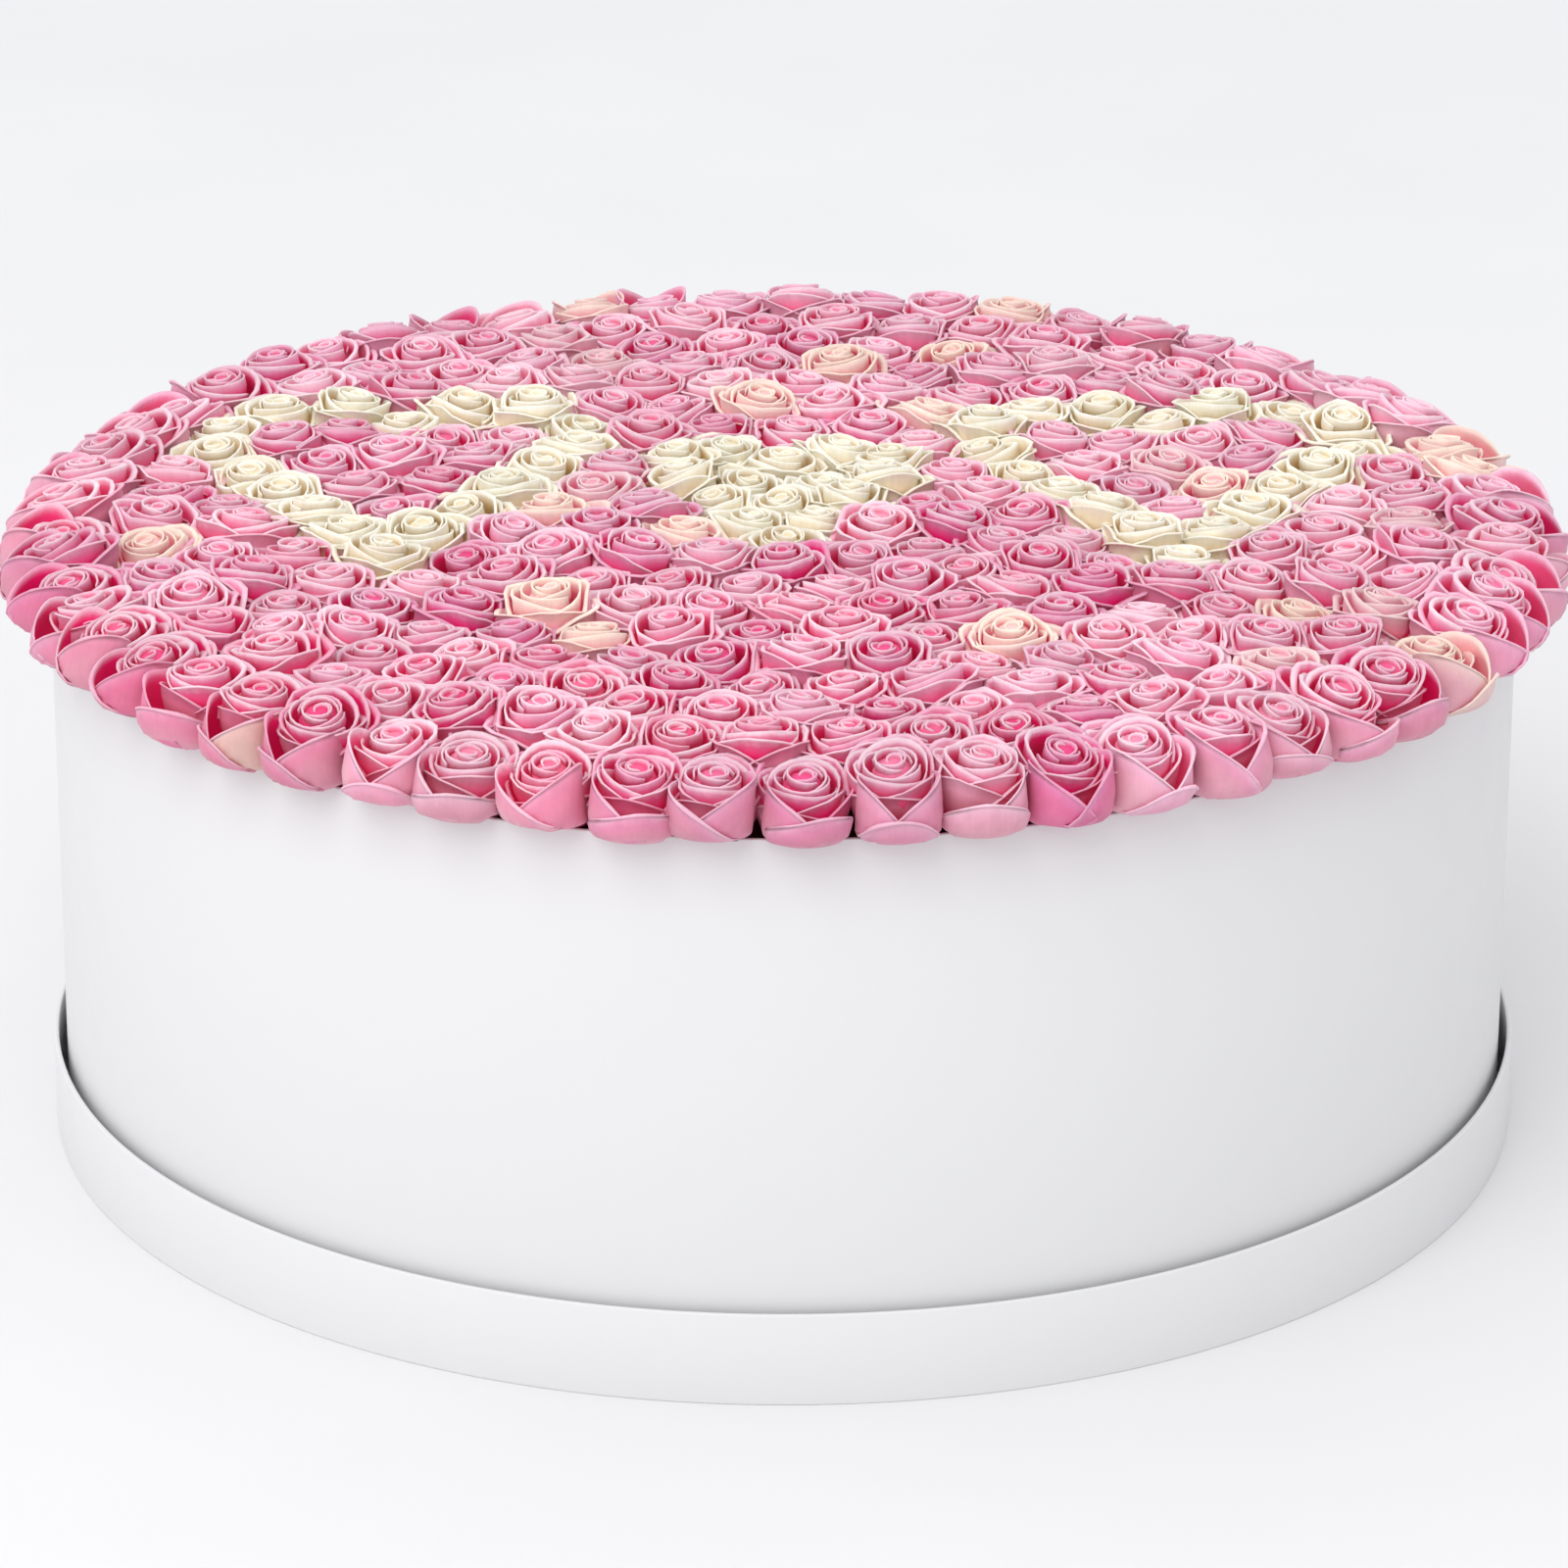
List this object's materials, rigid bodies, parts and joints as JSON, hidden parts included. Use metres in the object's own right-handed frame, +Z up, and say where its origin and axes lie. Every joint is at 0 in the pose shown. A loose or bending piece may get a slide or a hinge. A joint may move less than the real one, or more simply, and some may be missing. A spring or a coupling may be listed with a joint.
{
  "type": "rose box",
  "caption": "Round white board box packed to its rim with rose heads, pink with cream hearts, standing in its own upturned lid.",
  "frame": {"origin": "middle of the lid's underside, where the box stands on a surface", "axes": "+Z up, out of the roses; -Y towards the front, from which the hearts stand upright; +X to the right"},
  "size_m": [0.9614, 0.9617, 0.3981],
  "materials": {
    "white_board": "matte",
    "flower_foam": "matte",
    "pink_petals": "matte",
    "cream_petals": "matte"
  },
  "bodies": {
    "root": {"lid": "white_board", "box_body": "white_board", "foam_bed": "flower_foam", "pink_roses_1": "pink_petals", "pink_roses_2": "pink_petals", "pink_roses_3": "pink_petals", "pink_roses_4": "pink_petals", "pink_roses_5": "pink_petals", "pink_roses_6": "pink_petals", "pink_in_heart_left": "pink_petals", "pink_in_heart_right": "pink_petals", "cream_heart_left": "cream_petals", "cream_heart_middle": "cream_petals", "cream_heart_right": "cream_petals"}
  },
  "joints": []
}
